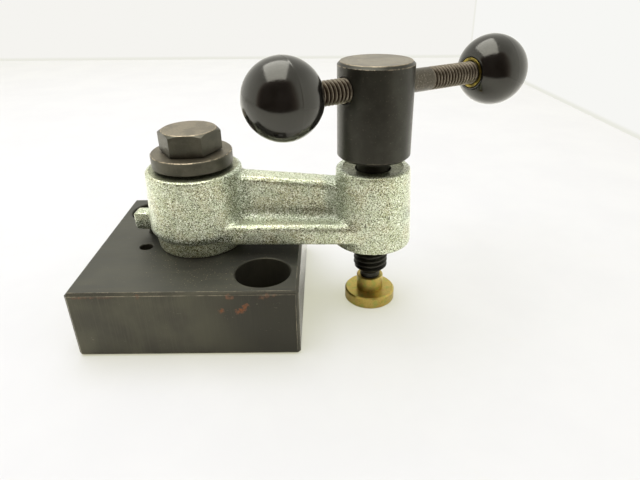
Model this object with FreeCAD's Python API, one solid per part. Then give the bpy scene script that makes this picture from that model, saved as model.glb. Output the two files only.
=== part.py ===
"""Swing clamp: a steel block, a cast arm that swings on a hex bolt, and a hand-tightened clamp screw.

Millimetres. The origin is on the block's underside, on the pivot axis. +Z is up, +X runs
towards the clamp screw along the block's front edge, and +Y goes to the back.
"""
import FreeCAD
import Part
import math
import os

Vector = FreeCAD.Vector
UP = Vector(0, 0, 1)
ORIGIN = Vector(0, 0, 0)

# Block
block_width = 76.2
block_depth = 76.2
block_height = 25.4
block_edge = 1.0
mount_inset = 12.7
mount_hole_dia = 13.5
counterbore_dia = 19.05
counterbore_depth = 13.0
rim_chamfer = 0.35
bolt_hole_play = 0.1
tapped_hole_depth = 19.05
tapped_hole_lead = 0.6
drill_point_angle = 118.0

# Stop pin and its two holes
pin_dia = 4.76
pin_stand = 9.0
pin_hole_depth = 12.0
pin_boss_gap = 0.35
pin_aside = 6.35
pin_hole_clearance = 0.03
pin_hole_chamfer = 0.25

# Pivot stack: hex bolt, washer and shoulder sleeve
bolt_dia = 12.7
bolt_length = 50.8
hex_across_flats = 19.05
hex_height = 7.94
hex_turn = 3.0
hex_bearing_height = 0.5
hex_bearing_ratio = 0.92
bolt_end_chamfer = 1.2
washer_dia = 28.58
washer_hole_play = 0.6
washer_thickness = 4.76
washer_edge = 0.35
sleeve_dia = 19.05
sleeve_hole_play = 0.2
running_clearance = 0.05
end_play = 1.15

# Cast arm
reach = 64.1
foot_radius_low = 15.9
foot_radius_top = 16.6
foot_height = 5.8
boss_height = 29.15
boss_radius_low = 18.2
boss_radius_top = 17.0
boss_low_round = 2.0
boss_top_chamfer = 0.5
end_boss_drop = 5.05
end_boss_top = 0.15
end_boss_radius_low = 14.55
end_boss_radius_top = 13.1
end_boss_round = 0.9
spot_face_radius = 12.0
spot_face_depth = 0.7
flange_thickness = 7.3
flange_drop = 1.25
flange_half_width = 14.6
flange_inset = 0.95
flange_top_round = 2.5
flange_low_round = 1.0
rib_thickness_top = 9.4
rib_thickness_low = 10.8
rib_drop_at_pivot = 1.5
rib_drop_at_end = 5.4
rib_top_chamfer = 1.4
web_fillet = 4.5
lug_length = 24.4
lug_width = 6.0
lug_top = 11.6
lug_thickness = 7.6
lug_end_round = 1.0
lug_gap = 0.15

# Clamp screw
screw_dia = 12.7
screw_lead_chamfer_height = 2.9
head_dia = 25.4
head_length = 31.75
head_chamfer = 0.8
head_top_chamfer = 1.0
head_stand = 4.0
neck_relief = 0.55
neck_length = 6.5
nose_dia = 7.5
nose_clearance = 0.08
nose_end_gap = 0.05
nose_shoulder_gap = 1.95

# Swivel pad and its snap ring
pad_dia = 19.2
pad_foot = 4.6
pad_height = 10.45
pad_collar_dia = 10.1
pad_edge = 0.5
pad_floor = 2.0
ring_wire_dia = 1.0
ring_height = 6.6
ring_opening = 60.0
ring_groove_clearance = 0.35

# T-handle
rod_dia = 7.94
rod_length = 95.25
rod_end_chamfer = 0.8
rod_below_top = 8.3
rod_turn = 34.3
rod_offset = 9.85
rod_tilt = 0.65
rod_past_centre = 3.325
cross_hole_play = 0.56
cross_hole_chamfer = 0.25
knob_dia = 25.4
insert_dia = 10.4
insert_stand = 0.3
insert_depth = 16.0
insert_wall = 2.0
press_gap = 0.02


def revolved(points):
    """Solid turned about Z from (radius, height) points."""
    corners = [Vector(radius, 0, height) for radius, height in points]
    outline = Part.makePolygon(corners + [corners[0]])
    return Part.Face(outline).revolve(ORIGIN, UP, 360)


def placed(shape, x=0.0, y=0.0, z=0.0):
    """Copy of a shape moved by x, y and z."""
    moved = shape.copy()
    moved.translate(Vector(x, y, z))
    return moved


def turned(shape, degrees):
    """Copy of a shape turned about the pivot axis."""
    result = shape.copy()
    result.rotate(ORIGIN, UP, degrees)
    return result


def cylinder(radius, low, high):
    return Part.makeCylinder(radius, high - low, Vector(0, 0, low))


def chamfered_hole(radius, low, high, chamfer):
    """Cutter for a hole whose upper rim is broken by a chamfer."""
    rim = Part.makeCone(radius, radius + 2 * chamfer, 2 * chamfer, Vector(0, 0, high - chamfer))
    return cylinder(radius, low, high + chamfer).fuse(rim)


def edges_where(shape, wanted):
    """Edges of a shape whose middle point and edge pass a test."""
    found = []
    for edge in shape.Edges:
        middle = edge.valueAt((edge.FirstParameter + edge.LastParameter) / 2)
        if wanted(middle, edge):
            found.append(edge)
    return found


# Heights that several pieces share
block_top = block_height
arm_low = block_top + running_clearance
boss_top = arm_low + boss_height
boss_low = arm_low + foot_height
flange_low = boss_low - flange_drop
flange_top = flange_low + flange_thickness
washer_low = boss_top + end_play
washer_top = washer_low + washer_thickness
end_low = boss_low - end_boss_drop
end_high = boss_top + end_boss_top
head_low = end_high + head_stand
head_high = head_low + head_length
rod_height = head_high - rod_below_top
knob_centres = rod_length - 2 * rod_past_centre

# Places that several pieces share
mount_x = block_width / 2 - mount_inset
mount_y = block_depth / 2 - mount_inset
pin_radius = pin_dia / 2
pin_distance = boss_radius_low + pin_radius + pin_boss_gap
pin_back = math.sqrt(pin_distance ** 2 - pin_aside ** 2)
pin_bearing = math.degrees(math.atan2(pin_aside, pin_back))
lug_bearing = math.degrees(math.asin((lug_width / 2 + pin_radius + lug_gap) / pin_distance))
arm_turn = lug_bearing - pin_bearing


def make_block():
    """Squared steel block with counterbored screw holes on one diagonal and two pin holes."""
    corner = Vector(-block_width / 2, -block_depth / 2, 0)
    block = Part.makeBox(block_width, block_depth, block_height, corner)
    block = block.makeChamfer(block_edge, block.Edges)
    screw_hole = cylinder(mount_hole_dia / 2, -1, block_top)
    pocket = chamfered_hole(counterbore_dia / 2, block_top - counterbore_depth, block_top, rim_chamfer)
    for side in (1, -1):
        block = block.cut(placed(screw_hole, side * mount_x, -side * mount_y))
        block = block.cut(placed(pocket, side * mount_x, -side * mount_y))
    pin_hole_radius = pin_radius + pin_hole_clearance
    pin_hole = chamfered_hole(pin_hole_radius, block_top - pin_hole_depth, block_top, pin_hole_chamfer)
    for side in (1, -1):
        block = block.cut(placed(pin_hole, -pin_back, side * pin_aside))
    hole_radius = (bolt_dia + bolt_hole_play) / 2
    bottom = block_top - tapped_hole_depth
    point = hole_radius / math.tan(math.radians(drill_point_angle / 2))
    bolt_hole = revolved([(0, bottom - point), (hole_radius, bottom), (hole_radius, block_top - tapped_hole_lead),
                          (hole_radius + tapped_hole_lead, block_top),
                          (hole_radius + tapped_hole_lead, block_top + 1), (0, block_top + 1)])
    return block.cut(bolt_hole)


def make_stop_pin():
    """Dowel that the arm's lug meets at the clamping position."""
    low = block_top - pin_hole_depth
    high = block_top + pin_stand
    chamfer = pin_radius / 6
    pin = revolved([(0, low), (pin_radius - chamfer, low), (pin_radius, low + chamfer),
                    (pin_radius, high - chamfer), (pin_radius - chamfer, high), (0, high)])
    return placed(pin, -pin_back, pin_aside)


def make_sleeve():
    """Shoulder sleeve, longer than the boss by the end play, that the arm turns on."""
    outer = sleeve_dia / 2
    inner = (bolt_dia + sleeve_hole_play) / 2
    return cylinder(outer, block_top, washer_low).cut(cylinder(inner, block_top - 1, washer_low + 1))


def make_washer():
    outer = washer_dia / 2
    inner = (bolt_dia + washer_hole_play) / 2
    return revolved([(inner, washer_low), (outer - washer_edge, washer_low), (outer, washer_low + washer_edge),
                     (outer, washer_top - washer_edge), (outer - washer_edge, washer_top), (inner, washer_top)])


def make_bolt():
    """Hex bolt whose head has a bearing face below and a turned chamfer above."""
    bearing_top = washer_top + hex_bearing_height
    head_top = washer_top + hex_height
    corner_radius = hex_across_flats / math.sqrt(3)
    corners = []
    for step in range(7):
        angle = math.radians(60 * step + hex_turn)
        corners.append(Vector(corner_radius * math.cos(angle), corner_radius * math.sin(angle), bearing_top))
    hexagon = Part.Face(Part.makePolygon(corners)).extrude(Vector(0, 0, head_top - bearing_top))
    crown = hex_across_flats / 2 * 0.98
    slope = (corner_radius - crown) * math.tan(math.radians(30))
    rounding = revolved([(0, bearing_top), (corner_radius, bearing_top), (corner_radius, head_top - slope),
                         (crown, head_top), (0, head_top)])
    bearing = cylinder(hex_across_flats / 2 * hex_bearing_ratio, washer_top, bearing_top)
    tip = washer_top - bolt_length
    radius = bolt_dia / 2
    shank = revolved([(0, tip), (radius - bolt_end_chamfer, tip), (radius, tip + bolt_end_chamfer),
                      (radius, washer_top), (0, washer_top)])
    return hexagon.common(rounding).fuse([bearing, shank]).removeSplitter()


def tangent_plate(radius_near, radius_far, length, low, high):
    """Plate whose outline is two circles joined by their outer tangents."""
    swing = math.acos((radius_near - radius_far) / length)
    near = Vector(radius_near * math.cos(swing), radius_near * math.sin(swing), low)
    far = Vector(length + radius_far * math.cos(swing), radius_far * math.sin(swing), low)
    near_low = Vector(near.x, -near.y, low)
    far_low = Vector(far.x, -far.y, low)
    outline = Part.Wire([
        Part.makeLine(near, far),
        Part.Arc(far, Vector(length + radius_far, 0, low), far_low).toShape(),
        Part.makeLine(far_low, near_low),
        Part.Arc(near_low, Vector(-radius_near, 0, low), near).toShape(),
    ])
    return Part.Face(outline).extrude(Vector(0, 0, high - low))


def make_rib():
    """Central rib: flat flanks with the casting's draft, and a top that falls to the end boss."""
    start = boss_radius_top / 2
    finish = reach - end_boss_radius_top / 2
    low = flange_low + flange_thickness / 2
    half_low = rib_thickness_low / 2
    half_top = rib_thickness_top / 2
    side = [Vector(start, -half_low, low), Vector(finish, -half_low, low),
            Vector(finish, -half_low, end_high - rib_drop_at_end),
            Vector(start, -half_low, boss_top - rib_drop_at_pivot)]
    slab = Part.Face(Part.makePolygon(side + [side[0]])).extrude(Vector(0, rib_thickness_low, 0))
    across = [Vector(0, -half_low, low), Vector(0, half_low, low), Vector(0, half_top, boss_top),
              Vector(0, -half_top, boss_top)]
    wedge = Part.Face(Part.makePolygon(across + [across[0]])).extrude(Vector(reach, 0, 0))
    rib = slab.common(wedge)
    long_top = edges_where(rib, lambda middle, edge: middle.z > (flange_top + boss_top) / 2
                           and start + 1 < middle.x < finish - 1)
    return rib.makeChamfer(rib_top_chamfer, long_top)


def make_lug():
    """Stop lug opposite the arm: flat top, half-round underside."""
    half = lug_width / 2
    high = arm_low + lug_top
    low = high - lug_thickness
    centre = low + half
    section = Part.Wire([
        Part.makeLine(Vector(0, half, centre), Vector(0, half, high)),
        Part.makeLine(Vector(0, half, high), Vector(0, -half, high)),
        Part.makeLine(Vector(0, -half, high), Vector(0, -half, centre)),
        Part.Arc(Vector(0, -half, centre), Vector(0, 0, low), Vector(0, half, centre)).toShape(),
    ])
    lug = Part.Face(section).extrude(Vector(-lug_length, 0, 0))
    end_edges = edges_where(lug, lambda middle, edge: abs(middle.x + lug_length) < 1e-6)
    return lug.makeFillet(lug_end_round, end_edges)


def fillet_web(body):
    """Arm with its rib rounded into the flange and bosses, then the flange's top edges rounded."""
    beside_rib = rib_thickness_low / 2 + 0.5
    roots = edges_where(body, lambda middle, edge: abs(middle.z - flange_top) < 1e-3
                        and abs(middle.y) < beside_rib and edge.Curve.TypeId == "Part::GeomLine")
    ends = edges_where(body, lambda middle, edge: edge.Curve.TypeId == "Part::GeomHyperbola"
                       and middle.z > flange_top and abs(middle.y) < beside_rib and 0 < middle.x < reach
                       and edge.Length > flange_thickness)
    body = body.makeFillet(web_fillet, roots + ends)
    outline = edges_where(body, lambda middle, edge: abs(middle.z - flange_top) < 1e-3
                          and abs(middle.y) > beside_rib + web_fillet and 0 < middle.x < reach)
    return body.makeFillet(flange_top_round, outline)


def make_arm():
    """One casting: pivot boss on its foot, end boss, flange, central rib and stop lug."""
    pivot_boss = revolved([(0, boss_low), (boss_radius_low, boss_low),
                           (boss_radius_top, boss_top), (0, boss_top)])
    low_rim = edges_where(pivot_boss, lambda middle, edge: abs(middle.z - boss_low) < 1e-6
                          and math.hypot(middle.x, middle.y) > boss_radius_low / 2)
    pivot_boss = pivot_boss.makeFillet(boss_low_round, low_rim)
    top_rim = edges_where(pivot_boss, lambda middle, edge: abs(middle.z - boss_top) < 1e-6
                          and math.hypot(middle.x, middle.y) > boss_radius_low / 2)
    pivot_boss = pivot_boss.makeChamfer(boss_top_chamfer, top_rim)
    foot = revolved([(0, arm_low), (foot_radius_low, arm_low), (foot_radius_top, boss_low),
                     (foot_radius_top, boss_low + foot_height / 2), (0, boss_low + foot_height / 2)])

    end_boss = revolved([(0, end_low), (end_boss_radius_low, end_low),
                         (end_boss_radius_top, end_high), (0, end_high)])
    rims = edges_where(end_boss, lambda middle, edge: edge.Curve.TypeId == "Part::GeomCircle"
                       and math.hypot(middle.x, middle.y) > end_boss_radius_top / 2)
    end_boss = placed(end_boss.makeFillet(end_boss_round, rims), reach)

    flange = tangent_plate(flange_half_width, end_boss_radius_low - flange_inset, reach, flange_low, flange_top)
    low_outline = edges_where(flange, lambda middle, edge: abs(middle.z - flange_low) < 1e-6)
    flange = flange.makeFillet(flange_low_round, low_outline)

    pivot_boss.rotate(ORIGIN, UP, 180)
    body = pivot_boss.fuse([foot, end_boss, flange, make_rib()]).removeSplitter()
    body = fillet_web(body).fuse(make_lug()).removeSplitter()

    tapped = placed(cylinder(screw_dia / 2 + running_clearance, end_low - 1, end_high + 1), reach)
    spot_face = placed(cylinder(spot_face_radius, end_high - spot_face_depth, end_high + 1), reach)
    bore = cylinder(sleeve_dia / 2 + running_clearance, arm_low - 1, boss_top + 1)
    body = body.cut(tapped).cut(spot_face).cut(bore)
    return turned(body, arm_turn)


def make_ring():
    """Open snap ring of round wire in the pad's groove."""
    radius = pad_bore_radius()
    wire = ring_wire_dia / 2
    ring = Part.makeTorus(radius, wire, Vector(0, 0, ring_height), UP, -180, 180, 360 - ring_opening)
    return at_screw(ring)


def pad_bore_radius():
    return nose_dia / 2 + nose_clearance


def at_screw(shape):
    """Copy of a shape moved from the origin to the screw's axis on the arm as it rests."""
    return turned(placed(shape, reach), arm_turn)


def make_pad():
    """Turned pad: round foot, collar, and a blind seat with a groove for the snap ring."""
    foot = pad_dia / 2
    collar = pad_collar_dia / 2
    bore = pad_bore_radius()
    groove = ring_wire_dia / 2 + press_gap
    pad = revolved([(0, 0), (foot - pad_edge, 0), (foot, pad_edge), (foot, pad_foot - pad_edge),
                    (foot - pad_edge, pad_foot), (collar, pad_foot), (collar, pad_height - pad_edge / 2),
                    (collar - pad_edge / 2, pad_height), (0, pad_height)])
    seat = cylinder(bore, pad_floor, pad_height + 1)
    ring_groove = cylinder(bore + groove, ring_height - groove, ring_height + groove)
    return at_screw(pad.cut(seat).cut(ring_groove))


def make_screw():
    """Clamp screw with its cross-drilled head, relieved neck, pointed end and grooved nose."""
    radius = screw_dia / 2
    nose = nose_dia / 2
    tip = pad_floor + nose_end_gap
    shoulder = pad_height + nose_shoulder_gap
    thread_low = shoulder + screw_lead_chamfer_height
    neck_low = head_low - neck_length
    neck = radius - neck_relief
    head = head_dia / 2
    groove_half = ring_wire_dia / 2 + ring_groove_clearance
    groove_root = pad_bore_radius() - ring_wire_dia / 2 - ring_groove_clearance
    tip_round = nose / 3
    profile = [
        (0, tip), (nose - tip_round, tip), (nose, tip + tip_round),
        (nose, ring_height - groove_half), (groove_root, ring_height - groove_half),
        (groove_root, ring_height + groove_half), (nose, ring_height + groove_half),
        (nose, shoulder), (radius, thread_low),
        (radius, neck_low), (neck, neck_low + radius - neck), (neck, head_low),
        (head - head_chamfer, head_low), (head, head_low + head_chamfer),
        (head, head_high - head_top_chamfer), (head - head_top_chamfer, head_high), (0, head_high),
    ]
    screw = revolved(profile)
    screw.rotate(ORIGIN, UP, 90)
    hole_radius = (rod_dia + cross_hole_play) / 2
    rod_dip = head_dia / 2 * math.tan(math.radians(rod_tilt))
    hole_height = rod_height + hole_radius - rod_dia / 2 - running_clearance - rod_dip
    hole = Part.makeCylinder(hole_radius, head_dia + 2, Vector(-head - 1, 0, hole_height), Vector(1, 0, 0))
    screw = screw.cut(hole)
    rims = edges_where(screw, lambda middle, edge: edge.Curve.TypeId != "Part::GeomCircle"
                       and abs(middle.z - hole_height) < hole_radius + 0.01
                       and math.hypot(middle.x, middle.y) > head - 1e-3)
    screw = screw.makeChamfer(cross_hole_chamfer, rims)
    screw.rotate(ORIGIN, UP, rod_turn)
    return at_screw(screw)


def on_rod(shape, along, facing=1):
    """Copy of a shape built along +Z, laid on the rod's axis at a distance from the screw."""
    laid = shape.copy()
    laid.rotate(ORIGIN, Vector(0, 1, 0), 90 * facing)
    laid.translate(Vector(along, 0, 0))
    laid.rotate(ORIGIN, Vector(0, 1, 0), rod_tilt)
    laid.translate(Vector(0, 0, rod_height))
    laid.rotate(ORIGIN, UP, rod_turn)
    return at_screw(laid)


def make_rod():
    radius = rod_dia / 2
    half = rod_length / 2
    edge = rod_end_chamfer
    rod = revolved([(0, -half), (radius - edge, -half), (radius, -half + edge),
                    (radius, half - edge), (radius - edge, half), (0, half)])
    return on_rod(rod, rod_offset)


def insert_face():
    """Distance from the knob's centre to its flat, which is as wide as the brass insert."""
    ball = knob_dia / 2
    rim = insert_dia / 2 + insert_wall / 2
    return math.sqrt(ball * ball - rim * rim)


def make_knob(side):
    """Moulded ball with a small flat and the pocket that its insert fills."""
    face = insert_face()
    ball = Part.makeSphere(knob_dia / 2)
    flat = cylinder(knob_dia, face, knob_dia)
    pocket = cylinder(insert_dia / 2 + press_gap, face - insert_depth, face + 1)
    return on_rod(ball.cut(flat).cut(pocket), rod_offset + side * knob_centres / 2, -side)


def make_insert(side):
    """Brass insert: its threaded bore takes the rod's end and stops short of its own end."""
    face = insert_face()
    outer = insert_dia / 2
    bore = rod_dia / 2 + press_gap
    bore_end = -(rod_length - knob_centres) / 2 - press_gap
    insert = cylinder(outer, face - insert_depth + press_gap, face + insert_stand)
    insert = insert.cut(cylinder(bore, bore_end, face + insert_stand + 1))
    return on_rod(insert, rod_offset + side * knob_centres / 2, -side)


pieces = {
    "base_block": make_block(),
    "stop_pin": make_stop_pin(),
    "pivot_sleeve": make_sleeve(),
    "pivot_washer": make_washer(),
    "pivot_bolt": make_bolt(),
    "swing_arm": make_arm(),
    "clamp_screw": make_screw(),
    "swivel_pad": make_pad(),
    "pad_ring": make_ring(),
    "handle_rod": make_rod(),
    "ball_knob_left": make_knob(-1),
    "ball_knob_right": make_knob(1),
    "knob_insert_left": make_insert(-1),
    "knob_insert_right": make_insert(1),
}

os.makedirs("parts", exist_ok=True)
for name, shape in pieces.items():
    solids = shape.Solids
    assert len(solids) == 1, name + " is not one solid"
    assert shape.isValid(), name + " is not valid"
    solids[0].exportStep("parts/" + name + ".step")
    box = shape.BoundBox
    print(name, round(shape.Volume, 1), [round(v, 2) for v in (box.XMin, box.YMin, box.ZMin,
                                                             box.XMax, box.YMax, box.ZMax)])
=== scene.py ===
"""Looks of the swing clamp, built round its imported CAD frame.
Lengths are millimetres until mm() makes metres."""
import math

import bmesh
import bpy
from mathutils import Matrix, Vector


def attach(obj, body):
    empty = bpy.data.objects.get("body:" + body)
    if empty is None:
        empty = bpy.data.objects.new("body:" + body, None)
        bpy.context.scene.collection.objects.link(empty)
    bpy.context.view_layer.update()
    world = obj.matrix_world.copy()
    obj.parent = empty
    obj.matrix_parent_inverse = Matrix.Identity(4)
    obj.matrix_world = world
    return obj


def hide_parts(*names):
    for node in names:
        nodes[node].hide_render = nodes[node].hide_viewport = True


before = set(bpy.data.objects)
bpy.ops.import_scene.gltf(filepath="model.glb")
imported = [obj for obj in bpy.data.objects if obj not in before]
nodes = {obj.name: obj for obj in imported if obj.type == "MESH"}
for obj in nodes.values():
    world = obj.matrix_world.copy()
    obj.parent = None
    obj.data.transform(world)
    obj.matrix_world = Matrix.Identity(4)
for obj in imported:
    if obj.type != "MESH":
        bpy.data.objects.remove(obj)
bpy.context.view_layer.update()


def mm(value):
    """Metres from millimetres."""
    return value * 0.001


# The part's own sizes that its looks are built from
BLOCK_HALF = 38.1
BLOCK_HEIGHT = 25.4
PIVOT_AXIS = Vector((0, 0, 0))
SCREW_AXIS = Vector((64.0465, -2.6185, 0))
ARM_TURN = math.radians(-2.3412)
ARM_LOW = 25.45
PIVOT_BOSS_HIGH = 54.6
PIVOT_BORE_RADIUS = 9.575
END_BOSS_LOW = 26.2
SCREW_BORE_RADIUS = 6.4
SPOT_FACE_FLOOR = 54.0
SPOT_FACE_RADIUS = 10.2
WASHER_HIGH = 60.51
HEX_HIGH = 68.45
HEAD_HIGH = 90.5
THREAD_HIGH = 52.9
NOSE_HIGH = 12.4
NOSE_RADIUS = 3.75
NECK_RADIUS = 5.8
SCREW_RADIUS = 6.35
SCREW_ROOT_RADIUS = 5.2
SCREW_PITCH = 25.4 / 13
ROD_HEIGHT = 82.2
ROD_TURN = math.radians(31.9588)
ROD_TILT = math.radians(0.65)
ROD_RADIUS = 3.97
ROD_ROOT_RADIUS = 3.12
ROD_END_RADIUS = 3.2
ROD_PITCH = 25.4 / 18
ROD_LENGTH = 95.25
ROD_MIDDLE = 9.85
ROD_THREAD = 35.0
ROD_PLAIN_HALF = ROD_LENGTH / 2 - ROD_THREAD
KNOB_RADIUS = 12.7
KNOB_SPACING = 88.6
INSERT_RADIUS = 5.2
INSERT_STAND = 0.3
INSERT_DEPTH = 14
PRESS_GAP = 0.02

# The tent: plan points of its walls' ends and of the table's, its heights, and the light panel over it
WALL_LEFT = (-1800.0, 656.0)
WALL_CORNER = (237.5, 547.0)
WALL_NEAR = (352.0, -620.0)
WALL_HEIGHT = 900
TABLE_LEFT = (-1800.0, -235.0)
TABLE_RIGHT = (314.0, -235.0)
TABLE_DROP = 0.02
PANEL_SIZE = (560, 800)
PANEL_PLACE = (-110, 90, 700)
PANEL_STRIPS = 11

# The camera: its place, its turn in degrees, and its focal length in pixels of a picture 640 wide
CAMERA_PLACE = Vector((47.44, -180.82, 120.17))
CAMERA_YAW = -0.836
CAMERA_PITCH = 28.025
CAMERA_ROLL = -1.096
FOCAL_PIXELS = 533.48
WIDTH_PIXELS = 640
SENSOR_WIDTH = 36.0

# Rust on the block's front face: x, z, radius and strength
RUST_SPOTS = (
    (12.8, 18.4, 0.75, 1.0), (18.1, 18.1, 0.8, 1.0), (19.3, 18.5, 1.0, 1.0), (20.4, 19.7, 0.9, 1.0),
    (21.1, 20.6, 0.7, 0.9), (15.4, 23.8, 0.8, 0.7), (16.5, 23.6, 0.6, 0.6), (26.3, 23.5, 0.8, 0.5),
    (28.0, 23.9, 0.8, 0.45), (30.2, 24.2, 0.6, 0.35), (-13.9, 24.2, 0.7, 0.35))


def linear(hex_colour):
    """Linear colour with alpha from an sRGB hex string."""
    channels = [int(hex_colour[i:i + 2], 16) / 255 for i in (1, 3, 5)]
    return tuple(c / 12.92 if c <= 0.04045 else ((c + 0.055) / 1.055) ** 2.4 for c in channels) + (1.0,)


def add(tree, kind, inputs=None, **settings):
    """Adds a node. Settings are its properties, inputs its sockets' values or the outputs linked there."""
    made = tree.nodes.new(kind)
    for key, value in settings.items():
        setattr(made, key, value)
    for key, value in (inputs or {}).items():
        socket = made.inputs[key]
        if isinstance(value, bpy.types.NodeSocket):
            tree.links.new(value, socket)
        else:
            socket.default_value = value
    return made


# Short words for the commonest nodes: type, settings, the sockets that its values fill, and its output.
# blend mixes a colour by a share, fade goes smoothly from start to end (0 to 1) between two limits of a
# value, noise has grains of about 1/scale millimetres, and bump takes a height, its depth and a strength.
WORDS = {
    "blend": ("ShaderNodeMix", {"data_type": "RGBA"}, (0, 6, 7), 2),
    "fade": ("ShaderNodeMapRange", {"interpolation_type": "SMOOTHSTEP"},
             ("Value", "From Min", "From Max", "To Min", "To Max"), "Result"),
    "noise": ("ShaderNodeTexNoise", {}, ("Vector", "Scale", "Detail", "Roughness"), "Fac"),
    "bump": ("ShaderNodeBump", {}, ("Height", "Distance", "Strength"), "Normal")}


def out(tree, word, *values):
    """Output of a node by its short word. Any other word is a math node's operation."""
    arithmetic = ("ShaderNodeMath", {"operation": word.upper()}, (0, 1), 0)
    kind, settings, places, result = WORDS.get(word, arithmetic)
    return add(tree, kind, dict(zip(places, values)), **settings).outputs[result]


def coordinates(tree, stretch=(1, 1, 1)):
    """Object coordinates in millimetres, each axis multiplied by its stretch."""
    place = add(tree, "ShaderNodeTexCoord").outputs["Object"]
    scale = tuple(1000 * s for s in stretch)
    return add(tree, "ShaderNodeVectorMath", {0: place, 1: scale}, operation="MULTIPLY").outputs[0]


def material(name, **values):
    """New material: its tree and its shader, with constant values set on the shader's sockets."""
    made = bpy.data.materials.new(name)
    made.use_nodes = True
    tree = made.node_tree
    shader = tree.nodes["Principled BSDF"]
    for key, value in values.items():
        shader.inputs[key.replace("_", " ")].default_value = value
    return made, tree, shader


def sockets(tree, shader, **links):
    """Links outputs to the shader's sockets by their names."""
    for key, value in links.items():
        tree.links.new(value, shader.inputs[key.replace("_", " ")])


def spot(tree, place, centre, radius, edge, warp):
    """Share of 1 inside a blotch round a point, fading over edge, with its outline warped."""
    distance = add(tree, "ShaderNodeVectorMath", {0: place, 1: centre}, operation="DISTANCE").outputs[1]
    distance = out(tree, "add", distance, warp)
    return out(tree, "fade", distance, radius + edge, radius - edge)


def plan_radius(tree, split, centre):
    """Distance in plan from an upright axis."""
    dx = out(tree, "subtract", split.outputs[0], centre[0])
    dy = out(tree, "subtract", split.outputs[1], centre[1])
    squares = out(tree, "add", out(tree, "multiply", dx, dx), out(tree, "multiply", dy, dy))
    return out(tree, "sqrt", squares)


def product(tree, *values):
    """Product of several masks."""
    result = values[0]
    for value in values[1:]:
        result = out(tree, "multiply", result, value)
    return result


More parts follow.
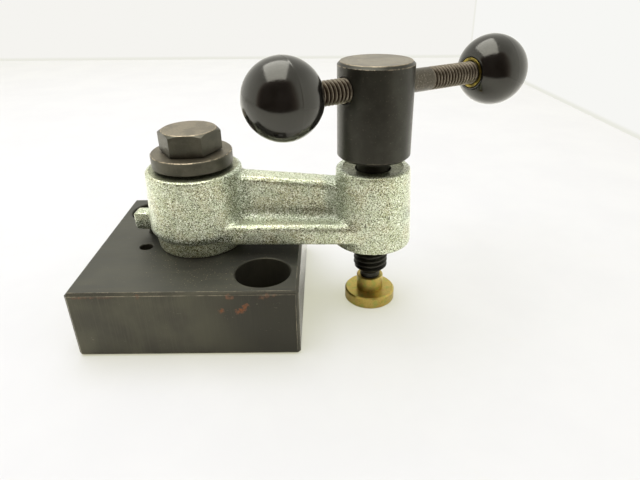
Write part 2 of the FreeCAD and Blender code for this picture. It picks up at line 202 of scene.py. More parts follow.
def ground_steel():
    """Black oxide on ground plate: near black, olive in the light, with upright grinding marks.
    The right side is ground finer and mirrors what is beside it at a glancing look. The corners of
    the chamfers are rubbed to a thin bare line, and rust has started beside one edge."""
    made, tree, shader = material("Steel_ground_black_oxide")
    place = coordinates(tree)
    split = add(tree, "ShaderNodeSeparateXYZ", {0: place})
    x, y, z = split.outputs
    cloud = out(tree, "noise", place, 0.07, 3)
    grind = out(tree, "noise", coordinates(tree, (3.0, 3.0, 0.06)), 1.0, 3, 0.6)
    grind_top = out(tree, "noise", coordinates(tree, (0.05, 1.8, 1)), 1.0, 3, 0.6)
    on_top = out(tree, "fade", z, BLOCK_HEIGHT - 0.25, BLOCK_HEIGHT - 0.05)
    marks = out(tree, "blend", on_top, grind, grind_top)
    colour = out(tree, "blend", out(tree, "fade", cloud, 0.3, 0.7), linear("#3b3a33"), linear("#4b4a3f"))
    colour = out(tree, "blend", out(tree, "multiply", on_top, 0.6), colour, linear("#424340"))
    colour = out(tree, "blend", out(tree, "fade", marks, 0.4, 0.8, 0.0, 0.35), colour, linear("#5c5a4d"))
    on_front = out(tree, "fade", y, -BLOCK_HALF + 0.6, -BLOCK_HALF + 0.2)
    # painted shade: the front face is darkened towards its right end, in cloudy patches
    darker = product(tree, on_front, out(tree, "fade", x, -5, 30),
                     out(tree, "fade", cloud, 0.2, 0.6, 0.6, 1.0))
    colour = out(tree, "blend", out(tree, "multiply", darker, 0.7), colour, linear("#24231f"))
    scratch = out(tree, "noise", coordinates(tree, (0.9, 0.9, 2.6)), 1.0, 3, 0.7)
    where = out(tree, "fade", out(tree, "noise", place, 0.11, 2), 0.5, 0.62)
    scratch = product(tree, out(tree, "fade", scratch, 0.66, 0.72), where)
    colour = out(tree, "blend", out(tree, "multiply", scratch, 0.6), colour, linear("#8f8b78"))
    dust = product(tree, out(tree, "fade", out(tree, "noise", place, 1.7, 1), 0.7, 0.74),
                   out(tree, "fade", plan_radius(tree, split, (8, -8)), 34, 20),
                   out(tree, "fade", z, BLOCK_HEIGHT - 0.2, BLOCK_HEIGHT - 0.05))
    colour = out(tree, "blend", out(tree, "multiply", dust, 0.7), colour, linear("#a3977c"))
    inset = [out(tree, "subtract", BLOCK_HALF, out(tree, "absolute", x)),
             out(tree, "subtract", BLOCK_HALF, out(tree, "absolute", y)),
             out(tree, "minimum", z, out(tree, "subtract", BLOCK_HEIGHT, z))]
    low = out(tree, "minimum", inset[0], inset[1])
    high = out(tree, "maximum", inset[0], inset[1])
    middle = out(tree, "maximum", low, out(tree, "minimum", high, inset[2]))
    lowest = out(tree, "minimum", low, inset[2])
    from_corner = out(tree, "maximum", lowest, out(tree, "subtract", middle, 1.0))
    rubbed = out(tree, "multiply", out(tree, "noise", place, 0.9, 4, 0.8), 0.32)
    worn = product(tree, out(tree, "fade", out(tree, "subtract", from_corner, rubbed), -0.04, -0.12),
                   out(tree, "fade", out(tree, "noise", place, 0.22, 2), 0.35, 0.62, 0.1, 0.65))
    colour = out(tree, "blend", worn, colour, linear("#98907c"))
    warp = out(tree, "multiply", out(tree, "subtract", out(tree, "noise", place, 1.1, 2, 0.5), 0.5), 2.2)
    rust = 0.0
    for spot_x, spot_z, radius, share in RUST_SPOTS:
        mask = spot(tree, place, (spot_x, -BLOCK_HALF, spot_z), radius, 0.45, warp)
        rust = out(tree, "maximum", rust, out(tree, "multiply", mask, share))
    line = product(tree, on_front, out(tree, "fade", x, -36.5, -34), out(tree, "fade", x, -18, -30),
                   out(tree, "fade", z, 23.4, 23.8), out(tree, "fade", z, 24.45, 24.2),
                   out(tree, "fade", out(tree, "noise", place, 0.8, 3, 0.7), 0.35, 0.6))
    rust = out(tree, "maximum", rust, out(tree, "multiply", line, 0.6))
    crust = out(tree, "fade", out(tree, "noise", place, 2.4, 2), 0.3, 0.5, 0.7, 1.0)
    rust = out(tree, "multiply", rust, crust)
    tone = out(tree, "fade", out(tree, "noise", place, 1.5, 2), 0.35, 0.65)
    tone = out(tree, "blend", tone, linear("#6f3f18"), linear("#4c2f18"))
    colour = out(tree, "blend", rust, colour, tone)
    rough = out(tree, "fade", marks, 0.2, 0.8, 0.42, 0.56)
    rough = out(tree, "add", rough, out(tree, "multiply", rust, 0.3))
    polished = out(tree, "fade", x, BLOCK_HALF - 0.3, BLOCK_HALF - 0.1, 1.0, 0.4)
    rough = out(tree, "multiply", rough, polished)
    metal = out(tree, "fade", rust, 0.0, 0.7, 0.72, 0.0)
    sockets(tree, shader, Base_Color=colour, Roughness=rough, Metallic=metal,
            Normal=out(tree, "bump", marks, mm(0.006), 0.5))
    return made


def turned_steel(name, first, second, rough_low, rough_high, centre, faces, rims):
    """Black oxide over lathe-turned steel. Rings round the axis draw the light out up and down,
    the faced tops are paler where the oxide is thin, and the rims are rubbed to a thin bare line.
    A face is a height and a share of bare steel, a rim is a radius, a height and a share."""
    made, tree, shader = material(name, Metallic=0.8)
    place = coordinates(tree)
    split = add(tree, "ShaderNodeSeparateXYZ", {0: place})
    radius = plan_radius(tree, split, centre)
    ringed = add(tree, "ShaderNodeCombineXYZ", {0: radius, 1: split.outputs[2]}).outputs[0]
    rings = out(tree, "noise", ringed, 3.2, 2)
    cloud = out(tree, "noise", place, 0.18, 4, 0.6)
    grit = out(tree, "noise", place, 1.3, 3, 0.6)
    colour = out(tree, "blend", out(tree, "fade", cloud, 0.35, 0.65), linear(first), linear(second))
    colour = out(tree, "blend", out(tree, "fade", grit, 0.6, 0.75, 0.0, 0.3), colour, linear("#6e6a5c"))
    bare = out(tree, "blend", out(tree, "fade", grit, 0.35, 0.65), linear("#71695a"), linear("#8b826f"))
    bare = out(tree, "blend", out(tree, "fade", cloud, 0.42, 0.6, 0.0, 0.55), bare, linear("#544d42"))
    for face_height, share in faces:
        above = out(tree, "absolute", out(tree, "subtract", split.outputs[2], face_height))
        colour = out(tree, "blend", out(tree, "fade", above, 0.3, 0.1, 0.0, share), colour, bare)
    rubbed = out(tree, "fade", out(tree, "noise", place, 0.7, 4, 0.75), 0.42, 0.58)
    for rim_radius, rim_height, share in rims:
        from_rim = add(tree, "ShaderNodeVectorMath", {0: ringed, 1: (rim_radius, rim_height, 0)},
                       operation="DISTANCE").outputs[1]
        worn = product(tree, out(tree, "fade", from_rim, 0.26, 0.1), rubbed)
        colour = out(tree, "blend", out(tree, "multiply", worn, share), colour, linear("#b3a58f"))
    uneven = out(tree, "add", out(tree, "multiply", grit, 0.6), out(tree, "multiply", rings, 0.4))
    rough = out(tree, "fade", uneven, 0.3, 0.7, rough_low, rough_high)
    sockets(tree, shader, Base_Color=colour, Roughness=rough,
            Normal=out(tree, "bump", rings, mm(0.004), 0.5))
    return made


def casting_corners(tree, place):
    """Two masks on the arm for painted shade: hollows between rib, flange and bosses, and undersides at
    foot and lug.
    """
    split = add(tree, "ShaderNodeSeparateXYZ", {0: place})
    x, y, z = split.outputs
    across = out(tree, "add", out(tree, "multiply", x, -math.sin(ARM_TURN)),
                 out(tree, "multiply", y, math.cos(ARM_TURN)))
    across = out(tree, "absolute", across)
    from_pivot = plan_radius(tree, split, PIVOT_AXIS)
    from_end = plan_radius(tree, split, SCREW_AXIS)
    above_flange = out(tree, "fade", z, 36.4, 38.0)
    valley = product(tree, out(tree, "fade", across, 11.5, 7.5), out(tree, "fade", z, 44.0, 38.5),
                     above_flange)
    near_pivot = product(tree, out(tree, "fade", from_pivot, 23.0, 18.8),
                         out(tree, "fade", across, 14.0, 9.0), out(tree, "fade", x, 9.0, 13.0),
                         above_flange)
    near_end = product(tree, out(tree, "fade", from_end, 19.5, 15.5),
                       out(tree, "fade", across, 12.5, 8.0), out(tree, "fade", x, 56.0, 52.5),
                       above_flange)
    low_rim = product(tree, out(tree, "fade", from_pivot, 21.5, 19.5), out(tree, "fade", z, 35.5, 33.0),
                      out(tree, "fade", z, 30.6, 31.6))
    lug_foot = product(tree, out(tree, "fade", x, -20.0, -21.5), out(tree, "fade", z, 34.6, 33.8))
    beside_bosses = out(tree, "maximum", near_pivot, near_end)
    hollow = out(tree, "maximum", beside_bosses, out(tree, "multiply", valley, 0.8))
    return hollow, out(tree, "maximum", low_rim, lug_foot)


def sand_cast_zinc():
    """Zinc plate over a sand casting: pale yellow-green metal, its near-white grains partly its own tone
    and partly painted glints.
    Dark pits sit between the grains. The hollows get painted shade, darker and greener, where the plate is
    also duller, and the undersides at foot and lug get painted shade."""
    made, tree, shader = material("Iron_sand_cast_zinc_plated", Metallic=0.8, Coat_Weight=0.6,
                                  Coat_Roughness=0.22)
    place = coordinates(tree)
    cloud = out(tree, "noise", place, 0.09, 3, 0.6)
    patch = out(tree, "noise", place, 0.35, 3, 0.6)
    grain = out(tree, "noise", place, 1.5, 1, 0.6)
    fine = out(tree, "noise", place, 3.3, 0, 0.5)
    hollow, under = casting_corners(tree, place)
    warm = out(tree, "noise", place, 0.13, 2)
    colour = out(tree, "blend", out(tree, "fade", cloud, 0.35, 0.65), linear("#aeb692"), linear("#c2cbaf"))
    colour = out(tree, "blend", out(tree, "fade", patch, 0.48, 0.7, 0.0, 0.5), colour, linear("#a0a88f"))
    colour = out(tree, "blend", out(tree, "fade", warm, 0.45, 0.62, 0.0, 0.4), colour, linear("#b3aa80"))
    # painted shade: darker, greener colour in the hollows between rib, flange and bosses
    colour = out(tree, "blend", out(tree, "multiply", hollow, 0.55), colour, linear("#768570"))
    # painted shade: darker colour on the undersides at the foot and the lug
    colour = out(tree, "blend", out(tree, "multiply", under, 0.7), colour, linear("#4d5c50"))
    mix = out(tree, "add", out(tree, "multiply", grain, 0.3), out(tree, "multiply", fine, 0.7))
    # partly painted glints: near-white grains laid over the grain's own pale tone
    colour = out(tree, "blend", out(tree, "fade", mix, 0.53, 0.64, 0.0, 0.85), colour, linear("#f6fbf0"))
    colour = out(tree, "blend", out(tree, "fade", mix, 0.45, 0.385, 0.0, 0.92), colour, linear("#332d1b"))
    rough = out(tree, "fade", fine, 0.3, 0.7, 0.34, 0.5)
    rough = out(tree, "add", rough, out(tree, "multiply", hollow, 0.15))
    sockets(tree, shader, Base_Color=colour, Roughness=rough, Normal=out(tree, "bump", mix, mm(0.15), 1.0))
    return made


def machined_zinc():
    """Zinc plate over a faced seat: the same yellow-green, smoother, broken up by specks, and darker,
    partly as painted shade from the screw head over the spot face.
    """
    made, tree, shader = material("Iron_machined_zinc_plated", Metallic=0.85)
    place = coordinates(tree)
    cloud = out(tree, "noise", place, 0.5, 4, 0.65)
    speck = out(tree, "noise", place, 2.6, 2, 0.6)
    # partly painted shade: the machined colours are kept dark for the screw head's shade on the spot face
    colour = out(tree, "blend", out(tree, "fade", cloud, 0.35, 0.65), linear("#7f836c"), linear("#9a9d84"))
    colour = out(tree, "blend", out(tree, "fade", speck, 0.52, 0.62, 0.0, 0.85), colour, linear("#45432f"))
    colour = out(tree, "blend", out(tree, "fade", speck, 0.44, 0.36, 0.0, 0.6), colour, linear("#c4c7ae"))
    sockets(tree, shader, Base_Color=colour, Roughness=out(tree, "fade", speck, 0.3, 0.7, 0.3, 0.45))
    return made


def moulded_black():
    """Glossy moulded phenolic: the room shows in it as if in black glass, over faint flow ripples."""
    made, tree, shader = material("Phenolic_moulded_gloss", IOR=1.55, Specular_Tint=linear("#f5f4ea"))
    place = coordinates(tree)
    haze = out(tree, "noise", place, 0.25, 3)
    colour = out(tree, "blend", out(tree, "fade", haze, 0.3, 0.7), linear("#0c0b0a"), linear("#151413"))
    scuff = out(tree, "fade", out(tree, "noise", place, 1.1, 4, 0.7), 0.35, 0.7, 0.11, 0.2)
    sockets(tree, shader, Base_Color=colour, Roughness=scuff,
            Normal=out(tree, "bump", haze, mm(0.05), 0.3))
    return made


def turned_brass():
    """Turned brass gone dull, browner in patches."""
    made, tree, shader = material("Brass_turned_dull", Metallic=1.0)
    place = coordinates(tree)
    cloud = out(tree, "noise", place, 0.6, 3)
    colour = out(tree, "blend", out(tree, "fade", cloud, 0.35, 0.65), linear("#8f803c"), linear("#5d5229"))
    sockets(tree, shader, Base_Color=colour, Roughness=out(tree, "fade", cloud, 0.3, 0.7, 0.28, 0.42))
    return made


def yellow_chromate():
    """Yellow chromate over zinc: gold with green and rose shifts where the film's thickness changes."""
    made, tree, shader = material("Steel_turned_yellow_chromate", Metallic=0.9)
    place = coordinates(tree)
    cloud = out(tree, "noise", place, 0.25, 3, 0.6)
    film = out(tree, "noise", place, 0.6, 2)
    colour = out(tree, "blend", out(tree, "fade", cloud, 0.3, 0.7), linear("#aa964a"), linear("#b9a45d"))
    colour = out(tree, "blend", out(tree, "fade", film, 0.52, 0.66, 0.0, 0.6), colour, linear("#8b9a4f"))
    colour = out(tree, "blend", out(tree, "fade", film, 0.4, 0.3, 0.0, 0.4), colour, linear("#b98a5c"))
    speck = out(tree, "noise", place, 1.9, 2, 0.6)
    colour = out(tree, "blend", out(tree, "fade", speck, 0.56, 0.7, 0.0, 0.55), colour, linear("#6b5a2a"))
    rough = out(tree, "fade", cloud, 0.3, 0.7, 0.3, 0.42)
    sockets(tree, shader, Base_Color=colour, Roughness=rough)
    return made


def rod_steel():
    """Worn oxide on the rod: bright flecks on the thread's crests, and painted shade, dark brown, down in
    its roots.
    The plain middle is darker than the threaded ends."""
    made, tree, shader = material("Steel_drawn_rod_worn", Metallic=0.8)
    place = coordinates(tree)
    cloud = out(tree, "noise", place, 0.5, 3, 0.6)
    fleck = out(tree, "noise", place, 2.6, 3, 0.6)
    way = (math.cos(ROD_TURN) * math.cos(ROD_TILT), math.sin(ROD_TURN) * math.cos(ROD_TILT),
           -math.sin(ROD_TILT))
    from_middle = add(tree, "ShaderNodeVectorMath", {0: place, 1: (*SCREW_AXIS[:2], ROD_HEIGHT)},
                      operation="SUBTRACT").outputs[0]
    offset = add(tree, "ShaderNodeVectorMath", {0: from_middle, 1: way},
                 operation="CROSS_PRODUCT").outputs[0]
    radius = add(tree, "ShaderNodeVectorMath", {0: offset}, operation="LENGTH").outputs[1]
    colour = out(tree, "blend", out(tree, "fade", cloud, 0.35, 0.65), linear("#6a6356"), linear("#847c6f"))
    along = add(tree, "ShaderNodeVectorMath", {0: from_middle, 1: way}, operation="DOT_PRODUCT").outputs[1]
    from_plain = out(tree, "absolute", out(tree, "subtract", along, ROD_MIDDLE))
    threaded = out(tree, "fade", from_plain, ROD_PLAIN_HALF - 0.5, ROD_PLAIN_HALF + 0.5)
    colour = out(tree, "blend", threaded, linear("#47433b"), colour)
    colour = out(tree, "blend", out(tree, "fade", fleck, 0.55, 0.7, 0.0, 0.6), colour, linear("#a89f8f"))
    # painted shade: dark brown down in the thread's roots
    colour = out(tree, "blend", out(tree, "fade", radius, 3.8, 3.3), colour, linear("#30241b"))
    sockets(tree, shader, Base_Color=colour, Roughness=out(tree, "fade", fleck, 0.3, 0.7, 0.28, 0.42))
    return made


STEEL_BLOCK = ground_steel()
STEEL_PIVOT = turned_steel("Steel_turned_black_oxide_pivot", "#424138", "#504e44", 0.38, 0.52, PIVOT_AXIS,
                           faces=((WASHER_HIGH, 0.5), (HEX_HIGH, 0.85)),
                           rims=((14.1, 60.35, 0.8), (9.4, 68.35, 0.6)))
STEEL_HEAD = turned_steel("Steel_turned_black_oxide_screw", "#2f2e29", "#363630", 0.32, 0.42, SCREW_AXIS,
                          faces=((HEAD_HIGH, 0.85),),
                          rims=((12.65, 89.45, 0.3), (11.75, 90.45, 0.4), (12.6, 59.6, 0.1)))
CAST_ZINC = sand_cast_zinc()
MACHINED_ZINC = machined_zinc()
PHENOLIC = moulded_black()
BRASS = turned_brass()
CHROMATE = yellow_chromate()
ROD_STEEL = rod_steel()


def keep_node(name, finish):
    """A CAD node that is shown as it is, with its finish."""
    piece = nodes[name]
    piece.data.materials.clear()
    piece.data.materials.append(finish)


for node_name in ("base_block", "stop_pin", "pivot_sleeve"):
    keep_node(node_name, STEEL_BLOCK)
for node_name in ("pivot_washer", "pivot_bolt"):
    keep_node(node_name, STEEL_PIVOT)
for node_name in ("swivel_pad", "pad_ring"):
    keep_node(node_name, CHROMATE)


def lathe(bm, profile, segments=96):
    """Adds a surface turned about Z from (radius, height) points in millimetres."""
    rings = []
    for radius, height in profile:
        if radius < 1e-6:
            rings.append([bm.verts.new((0, 0, mm(height)))])
            continue
        ring = []
        for step in range(segments):
            angle = 2 * math.pi * step / segments
            place = (mm(radius) * math.cos(angle), mm(radius) * math.sin(angle), mm(height))
            ring.append(bm.verts.new(place))
        rings.append(ring)
    for lower, upper in zip(rings, rings[1:]):
        for step in range(segments):
            after = (step + 1) % segments
            corners = [lower[step % len(lower)], lower[after % len(lower)],
                       upper[after % len(upper)], upper[step % len(upper)]]
            unique = list(dict.fromkeys(corners))
            if len(unique) > 2:
                bm.faces.new(unique)


def mesh_piece(name, bm, finish, smooth=30):
    """Object from a bmesh whose faces are smooth up to an angle between them."""
    bmesh.ops.recalc_face_normals(bm, faces=bm.faces)
    mesh = bpy.data.meshes.new(name)
    bm.to_mesh(mesh)
    bm.free()
    mesh.materials.append(finish)
    piece = bpy.data.objects.new(name, mesh)
    bpy.context.scene.collection.objects.link(piece)
    mesh.shade_smooth()
    mesh.set_sharp_from_angle(angle=math.radians(smooth))
    return piece


def join_into(bm, other, matrix):
    """Moves all of one bmesh into another through a matrix."""
    bmesh.ops.transform(other, matrix=matrix, verts=other.verts)
    rest = bpy.data.meshes.new("rest")
    other.to_mesh(rest)
    other.free()
    bm.from_mesh(rest)
    bpy.data.meshes.remove(rest)


def thread_tree():
    """Geometry nodes: a thread about Z as one rolled-up grid, cut square and tapered to a shoulder at both
    ends. Its section goes from a narrow flat crest down a straight flank to a flat root and up again."""
    tree = bpy.data.node_groups.new("Screw_thread", "GeometryNodeTree")
    tree.interface.new_socket("Geometry", in_out="OUTPUT", socket_type="NodeSocketGeometry")
    for name, default in (("Outer radius", 6.35), ("Root radius", 5.2), ("Pitch", 1.95), ("Low", 0.0),
                          ("High", 10.0), ("Low shoulder", 6.35), ("High shoulder", 6.35)):
        socket = tree.interface.new_socket(name, in_out="INPUT", socket_type="NodeSocketFloat")
        socket.default_value = default
    tree.interface.new_socket("Material", in_out="INPUT", socket_type="NodeSocketMaterial")
    given = add(tree, "NodeGroupInput").outputs
    rows_per_turn = 16
    points_around = 97
    crest_end = 0.16
    root_start = 0.8
    pitch = given["Pitch"]
    low = given["Low"]
    high = given["High"]
    length = out(tree, "subtract", high, low)
    turns = out(tree, "add", out(tree, "ceil", out(tree, "divide", length, pitch)), 1)
    steps = out(tree, "multiply", turns, rows_per_turn)
    rows = add(tree, "FunctionNodeFloatToInt", {0: out(tree, "add", steps, 1)}).outputs[0]
    grid = add(tree, "GeometryNodeMeshGrid",
               {"Size X": 1.0, "Size Y": 1.0, "Vertices X": points_around, "Vertices Y": rows})
    place = add(tree, "ShaderNodeSeparateXYZ", {0: add(tree, "GeometryNodeInputPosition").outputs[0]})
    around = out(tree, "add", place.outputs[0], 0.5)
    up_grid = out(tree, "add", place.outputs[1], 0.5)
    along = out(tree, "multiply", up_grid, out(tree, "multiply", turns, pitch))
    rise = out(tree, "multiply", around, pitch)
    free_height = out(tree, "add", out(tree, "subtract", out(tree, "add", low, along), pitch), rise)
    height = out(tree, "minimum", out(tree, "maximum", free_height, low), high)
    from_low = out(tree, "subtract", height, low)
    phase = out(tree, "fract", out(tree, "divide", out(tree, "subtract", from_low, rise), pitch))
    wave = out(tree, "absolute", out(tree, "subtract", out(tree, "multiply", phase, 2), 1))
    groove = add(tree, "ShaderNodeMapRange",
                 {"Value": wave, "From Min": crest_end, "From Max": root_start}).outputs["Result"]
    depth = out(tree, "subtract", given["Outer radius"], given["Root radius"])
    radius = out(tree, "subtract", given["Outer radius"], out(tree, "multiply", groove, depth))
    low_limit = out(tree, "add", given["Low shoulder"], from_low)
    high_limit = out(tree, "add", given["High shoulder"], out(tree, "subtract", high, height))
    radius = out(tree, "minimum", radius, out(tree, "minimum", low_limit, high_limit))
    angle = out(tree, "multiply", around, 2 * math.pi)
    spot_at = add(tree, "ShaderNodeCombineXYZ", {
        0: out(tree, "multiply", radius, out(tree, "cosine", angle)),
        1: out(tree, "multiply", radius, out(tree, "sine", angle)),
        2: height})
    metres = add(tree, "ShaderNodeVectorMath", {0: spot_at.outputs[0], 3: 0.001}, operation="SCALE")
    moved = add(tree, "GeometryNodeSetPosition",
                {"Geometry": grid.outputs["Mesh"], "Position": metres.outputs[0]})
    welded = add(tree, "GeometryNodeMergeByDistance", {"Geometry": moved.outputs[0], "Distance": 1e-6})
    whole = add(tree, "GeometryNodeRealizeInstances", {"Geometry": welded.outputs[0]})
    finished = add(tree, "GeometryNodeSetMaterial",
                   {"Geometry": whole.outputs[0], "Material": given["Material"]})
    result = add(tree, "NodeGroupOutput")
    tree.links.new(finished.outputs[0], result.inputs[0])
    return tree


THREAD = thread_tree()


def cut_thread(bm, finish, **values):
    """Adds a baked thread to a bmesh. Its sizes go by the names of the tree's inputs."""
    holder = bpy.data.objects.new("thread_holder", bpy.data.meshes.new("thread_holder"))
    bpy.context.scene.collection.objects.link(holder)
    modifier = holder.modifiers.new("thread", "NODES")
    modifier.node_group = THREAD
    for item in THREAD.interface.items_tree:
        key = item.name.lower().replace(" ", "_")
        if item.in_out == "INPUT" and key in values:
            modifier[item.identifier] = float(values[key])
        elif item.in_out == "INPUT" and key == "material":
            modifier[item.identifier] = finish
    bpy.context.view_layer.update()
    baked = bpy.data.meshes.new_from_object(holder.evaluated_get(bpy.context.evaluated_depsgraph_get()))
    bpy.data.objects.remove(holder)
    bm.from_mesh(baked)
    bpy.data.meshes.remove(baked)


def cut_copy(node, height, keep_above):
    """Bmesh of a CAD node's part above or below a height."""
    bm = bmesh.new()
    bm.from_mesh(nodes[node].data)
    geometry = list(bm.verts) + list(bm.edges) + list(bm.faces)
    bmesh.ops.bisect_plane(bm, geom=geometry, plane_co=(0, 0, mm(height)), plane_no=(0, 0, 1),
                           clear_inner=keep_above, clear_outer=not keep_above)
    return bm


def build_screw():
    """Clamp screw: head and nose from the CAD node, with a real thread between them."""
    bm = cut_copy("clamp_screw", THREAD_HIGH, keep_above=True)
    join_into(bm, cut_copy("clamp_screw", NOSE_HIGH, keep_above=False), Matrix())
    thread = bmesh.new()
    cut_thread(thread, STEEL_HEAD, outer_radius=SCREW_RADIUS, root_radius=SCREW_ROOT_RADIUS,
               pitch=SCREW_PITCH, low=NOSE_HIGH + 0.01, high=THREAD_HIGH,
               low_shoulder=NOSE_RADIUS, high_shoulder=NECK_RADIUS)
    join_into(bm, thread, Matrix.Translation(SCREW_AXIS * 0.001))
    piece = mesh_piece("clamp_screw_threaded", bm, STEEL_HEAD, 32)
    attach(piece, "screw")
    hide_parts("clamp_screw")


def rod_frame(along, facing=1):
    """Matrix that lays +Z along the rod at a distance from the screw's axis."""
    rod = Matrix.Rotation(ROD_TURN, 4, "Z") @ Matrix.Rotation(ROD_TILT, 4, "Y")
    centre = Matrix.Translation((SCREW_AXIS + Vector((0, 0, ROD_HEIGHT))) * 0.001)
    facing_turn = Matrix.Rotation(math.radians(90 * facing), 4, "Y")
    return centre @ rod @ Matrix.Translation((mm(along), 0, 0)) @ facing_turn


def build_rod():
    """Handle rod with cut threads at both ends and a plain middle."""
    half = ROD_LENGTH / 2
    plain = ROD_PLAIN_HALF
    bm = bmesh.new()
    lathe(bm, [(ROD_RADIUS, -plain), (ROD_RADIUS, plain)], 64)
    for low, high, low_shoulder, high_shoulder in ((plain, half, ROD_RADIUS, ROD_END_RADIUS),
                                                   (-half, -plain, ROD_END_RADIUS, ROD_RADIUS)):
        cut_thread(bm, ROD_STEEL, outer_radius=ROD_RADIUS, root_radius=ROD_ROOT_RADIUS, pitch=ROD_PITCH,
                   low=low, high=high, low_shoulder=low_shoulder, high_shoulder=high_shoulder)
    bmesh.ops.transform(bm, matrix=rod_frame(ROD_MIDDLE), verts=bm.verts)
    piece = mesh_piece("handle_rod_threaded", bm, ROD_STEEL, 32)
    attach(piece, "handle")
    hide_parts("handle_rod")


def build_knob(side, word):
    """Ball knob with its mould's parting line, a flat round its insert, and the brass insert in it."""
    insert = INSERT_RADIUS
    rim = insert + 1.0
    face = math.sqrt(KNOB_RADIUS ** 2 - rim ** 2)
    floor = face - INSERT_DEPTH
    flash_height = 0.05
    flash_angle = 0.026
    profile = []
    steps = 240
    first = math.asin(rim / KNOB_RADIUS)
    for step in range(steps + 1):
        angle = math.pi - (math.pi - first) * step / steps
        flash = flash_height * max(0.0, 1 - abs(angle - math.pi / 2) / flash_angle)
        profile.append(((KNOB_RADIUS + flash) * math.sin(angle), (KNOB_RADIUS + flash) * math.cos(angle)))
    profile[0] = (0, -KNOB_RADIUS)
    profile += [(insert + 0.35, face), (insert + PRESS_GAP, face - 0.3), (insert + PRESS_GAP, floor)]
    bm = bmesh.new()
    lathe(bm, profile, 160)
    matrix = rod_frame(ROD_MIDDLE + side * KNOB_SPACING / 2, -side)
    bmesh.ops.transform(bm, matrix=matrix, verts=bm.verts)
    knob = mesh_piece("ball_knob_gloss_" + word, bm, PHENOLIC, 35)
    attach(knob, "handle")
    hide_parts("ball_knob_" + word)
    bm = bmesh.new()
    stand = face + INSERT_STAND
    lathe(bm, [(insert, floor), (insert, face + 0.15), (insert - 0.2, stand), (ROD_RADIUS + 0.35, stand),
               (ROD_RADIUS + PRESS_GAP, face), (ROD_RADIUS + PRESS_GAP, floor)])
    bmesh.ops.transform(bm, matrix=matrix, verts=bm.verts)
    ring = mesh_piece("knob_insert_turned_" + word, bm, BRASS, 35)
    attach(ring, "handle")
    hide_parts("knob_insert_" + word)


def machined_cutter():
    """Object whose two turned solids cut the arm's bores, its faced ends and its spot face."""
    bottom = 15
    top = 66
    wide = 24
    bm = bmesh.new()
    lathe(bm, [(0, bottom), (wide, bottom), (wide, ARM_LOW), (PIVOT_BORE_RADIUS, ARM_LOW),
               (PIVOT_BORE_RADIUS, PIVOT_BOSS_HIGH), (wide, PIVOT_BOSS_HIGH), (wide, top), (0, top)])
    end = bmesh.new()
    lathe(end, [(0, bottom), (SCREW_BORE_RADIUS, bottom), (SCREW_BORE_RADIUS, SPOT_FACE_FLOOR),
                (SPOT_FACE_RADIUS, SPOT_FACE_FLOOR), (SPOT_FACE_RADIUS + 0.5, SPOT_FACE_FLOOR + 0.3),
                (SPOT_FACE_RADIUS + 0.8, top), (0, top)])
    join_into(bm, end, Matrix.Translation(SCREW_AXIS * 0.001))
    return mesh_piece("cutter", bm, MACHINED_ZINC)


def build_arm():
    """Cast arm: the CAD node's shape with a sand casting's soft corners and rough skin, machined after.
    The bores are plugged before the skin is made, so their edges stay crisp when they are cut again.
    The pivot's plug stands proud of both faced ends, and the third plug fills the end boss's spot face."""
    bm = bmesh.new()
    bm.from_mesh(nodes["swing_arm"].data)
    for axis, radius, low, high in ((PIVOT_AXIS, 14.6, ARM_LOW - 0.85, PIVOT_BOSS_HIGH + 1.0),
                                    (SCREW_AXIS, SCREW_BORE_RADIUS + 1.0, END_BOSS_LOW, SPOT_FACE_FLOOR),
                                    (SCREW_AXIS, 12.3, 45.0, SPOT_FACE_FLOOR + 0.72)):
        matrix = Matrix.Translation((mm(axis.x), mm(axis.y), mm((low + high) / 2)))
        bmesh.ops.create_cone(bm, cap_ends=True, segments=96, radius1=mm(radius), radius2=mm(radius),
                              depth=mm(high - low), matrix=matrix)
    piece = mesh_piece("swing_arm_cast", bm, CAST_ZINC)
    remesh = piece.modifiers.new("remesh", "REMESH")
    remesh.mode = "VOXEL"
    remesh.voxel_size = mm(0.4)
    smooth = piece.modifiers.new("smooth", "SMOOTH")
    smooth.factor = 0.5
    smooth.iterations = 13
    skin = bpy.data.textures.new("sand_skin", "CLOUDS")
    skin.noise_scale = mm(1.3)
    skin.noise_depth = 1
    displace = piece.modifiers.new("skin", "DISPLACE")
    displace.texture = skin
    displace.texture_coords = "LOCAL"
    displace.strength = mm(0.16)
    displace.mid_level = 0.5
    cutter = machined_cutter()
    cut = piece.modifiers.new("machining", "BOOLEAN")
    cut.operation = "DIFFERENCE"
    cut.solver = "EXACT"
    cut.material_mode = "TRANSFER"
    cut.object = cutter
    bpy.context.view_layer.update()
    baked = bpy.data.meshes.new_from_object(piece.evaluated_get(bpy.context.evaluated_depsgraph_get()))
    piece.modifiers.clear()
    piece.data = baked
    bpy.data.objects.remove(cutter)
    baked.shade_smooth()
    baked.set_sharp_from_angle(angle=math.radians(50))
    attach(piece, "arm")
    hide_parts("swing_arm")


build_screw()
build_rod()
build_knob(-1, "left")
build_knob(1, "right")
build_arm()


def table_paint():
    """Scuffed white paint. The camera sees it lifted close to white; other rays meet the plain paint."""
    made, tree, shader = material("Board_painted_matte", Roughness=0.85)
    place = coordinates(tree)
    seen = add(tree, "ShaderNodeLightPath").outputs["Is Camera Ray"]
    streaks = out(tree, "noise", coordinates(tree, (0.05, 0.12, 1)), 1.0, 5, 0.65)
    scuff = out(tree, "fade", streaks, 0.62, 0.72, 0.0, 0.06)
    own = out(tree, "blend", seen, linear("#f2f2f0"), (0.25, 0.255, 0.36, 1))
    own = out(tree, "blend", scuff, own, linear("#8a8578"))
    drift = out(tree, "fade", out(tree, "noise", place, 0.02, 4, 0.6), 0.3, 0.7)
    glow = out(tree, "blend", drift, (0.472, 0.467, 0.325, 1), (0.497, 0.492, 0.345, 1))
    sockets(tree, shader, Base_Color=own, Emission_Color=glow, Emission_Strength=seen)
    return made


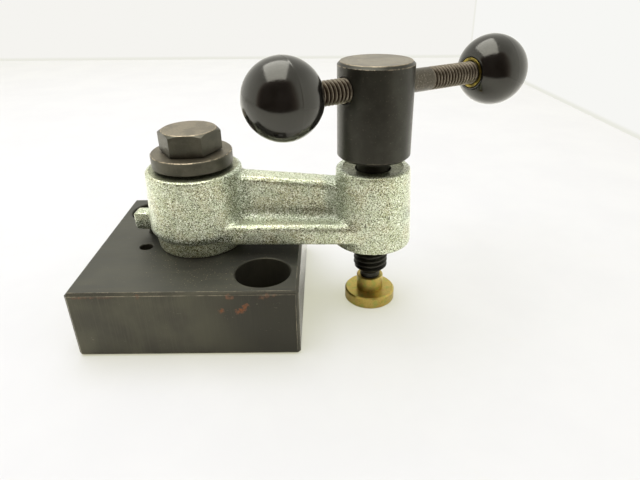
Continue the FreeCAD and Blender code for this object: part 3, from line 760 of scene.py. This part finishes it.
def wall_paint(name, colour):
    """White tent cloth, seen by the camera alone, with painted shade along its foot where it meets the
    table and down the fold at the corner.
    """
    made, tree, shader = material(name, Base_Color=(0, 0, 0, 1), Roughness=1.0, Specular_IOR_Level=0.0)
    height = add(tree, "ShaderNodeSeparateXYZ", {0: coordinates(tree)}).outputs[2]
    seen = add(tree, "ShaderNodeLightPath").outputs["Is Camera Ray"]
    fold = add(tree, "ShaderNodeVectorMath", {0: coordinates(tree, (1, 1, 0)), 1: (*WALL_CORNER, 0)},
               operation="DISTANCE").outputs[1]
    # painted shade: a darker strip along the foot of the cloth and down the corner
    clear = product(tree, out(tree, "fade", height, 1.5, 5.0),
                    out(tree, "fade", fold, 0.8, 2.2, 0.25, 1.0))
    glow = out(tree, "blend", clear, linear("#ebebe2"), linear(colour))
    sockets(tree, shader, Emission_Color=glow, Emission_Strength=seen, Alpha=seen)
    return made


def wall_corners(first, second):
    """Four corners of a wall that stands on the line between two plan points."""
    return [(*first, 0), (*second, 0), (*second, WALL_HEIGHT), (*first, WALL_HEIGHT)]


def build_stage():
    """Table and the two tent walls behind it, on the lines where the photograph shows them."""
    table_corners = [(*plan, 0) for plan in (WALL_LEFT, TABLE_LEFT, TABLE_RIGHT, WALL_CORNER)]
    back = wall_paint("Cloth_white_back", "#f5f4f0")
    right = wall_paint("Cloth_white_right", "#f7f7f4")
    for name, finish, corners in (("table", table_paint(), table_corners),
                                  ("wall_back", back, wall_corners(WALL_LEFT, WALL_CORNER)),
                                  ("wall_right", right, wall_corners(WALL_CORNER, WALL_NEAR))):
        bm = bmesh.new()
        bm.faces.new([bm.verts.new((mm(x), mm(y), mm(z - TABLE_DROP))) for x, y, z in corners])
        mesh_piece(name, bm, finish)


def ceiling_panel():
    """Warm white light panel over the tent, in strips that show as fine lines in the glossy knobs."""
    light = bpy.data.lights.new("ceiling_panel", "AREA")
    light.shape = "RECTANGLE"
    light.size = mm(PANEL_SIZE[0])
    light.size_y = mm(PANEL_SIZE[1])
    light.energy = 6.0
    light.color = (1.0, 0.985, 0.93)
    light.use_nodes = True
    tree = light.node_tree
    place = add(tree, "ShaderNodeNewGeometry").outputs["Parametric"]
    across = add(tree, "ShaderNodeSeparateXYZ", {0: place})
    strips = out(tree, "sine", out(tree, "multiply", across.outputs[1], 2 * math.pi * PANEL_STRIPS))
    brightness = out(tree, "fade", strips, -1.0, 1.0, 0.6, 1.4)
    tree.links.new(brightness, tree.nodes["Emission"].inputs["Strength"])
    panel = bpy.data.objects.new("ceiling_panel", light)
    panel.location = [mm(v) for v in PANEL_PLACE]
    bpy.context.scene.collection.objects.link(panel)


def build_world():
    """Light tent: white walls all round, and a dim brown room through its open front.
    The camera sees plain pale cloth every way, so the part stands on white from any side.
    Aside and rise are how far a ray goes sideways and up for one unit towards the front."""
    world = bpy.data.worlds.new("Tent")
    world.use_nodes = True
    tree = world.node_tree
    background = tree.nodes["Background"]
    way = add(tree, "ShaderNodeSeparateXYZ", {0: add(tree, "ShaderNodeTexCoord").outputs["Generated"]})
    front = out(tree, "maximum", out(tree, "multiply", way.outputs[1], -1), 0.001)
    aside = out(tree, "divide", way.outputs[0], front)
    rise = out(tree, "divide", way.outputs[2], front)
    opening = product(tree, out(tree, "fade", aside, -3.4, -1.4), out(tree, "fade", aside, 1.4, 0.4),
                      out(tree, "fade", rise, 2.8, 1.3))
    path = add(tree, "ShaderNodeLightPath")
    glossy = path.outputs["Is Glossy Ray"]
    seen = path.outputs["Is Camera Ray"]
    shade = out(tree, "multiply", opening, out(tree, "fade", glossy, 0.0, 1.0, 0.35, 1.0))
    sides = out(tree, "fade", out(tree, "absolute", way.outputs[0]), 0.5, 0.95, 1.1, 1.5)
    strength = add(tree, "ShaderNodeMix", {0: shade, 2: sides, 3: 0.14}, data_type="FLOAT").outputs[0]
    strength = add(tree, "ShaderNodeMix", {0: seen, 2: strength, 3: 1.0}, data_type="FLOAT").outputs[0]
    colour = out(tree, "blend", shade, linear("#fbf9ef"), linear("#d9b49c"))
    colour = out(tree, "blend", seen, colour, linear("#f5f4f0"))
    tree.links.new(colour, background.inputs["Color"])
    tree.links.new(strength, background.inputs["Strength"])
    bpy.context.scene.world = world


def build_camera():
    """Camera solved from the photograph's straight edges and circles."""
    yaw, pitch, roll = (math.radians(v) for v in (CAMERA_YAW, CAMERA_PITCH, CAMERA_ROLL))
    forward = Vector((math.sin(yaw) * math.cos(pitch), math.cos(yaw) * math.cos(pitch), -math.sin(pitch)))
    level = Vector((math.cos(yaw), -math.sin(yaw), 0))
    upright = level.cross(forward)
    right = level * math.cos(roll) + upright * math.sin(roll)
    up = upright * math.cos(roll) - level * math.sin(roll)
    data = bpy.data.cameras.new("Camera")
    data.sensor_width = SENSOR_WIDTH
    data.lens = FOCAL_PIXELS / WIDTH_PIXELS * SENSOR_WIDTH
    data.clip_start = 0.01
    data.clip_end = 20.0
    camera = bpy.data.objects.new("Camera", data)
    turn = Matrix((right, up, -forward)).transposed().to_4x4()
    camera.matrix_world = Matrix.Translation(CAMERA_PLACE * 0.001) @ turn
    bpy.context.scene.collection.objects.link(camera)
    bpy.context.scene.camera = camera


build_stage()
build_world()
build_camera()
ceiling_panel()

bpy.context.scene.view_settings.view_transform = "Standard"
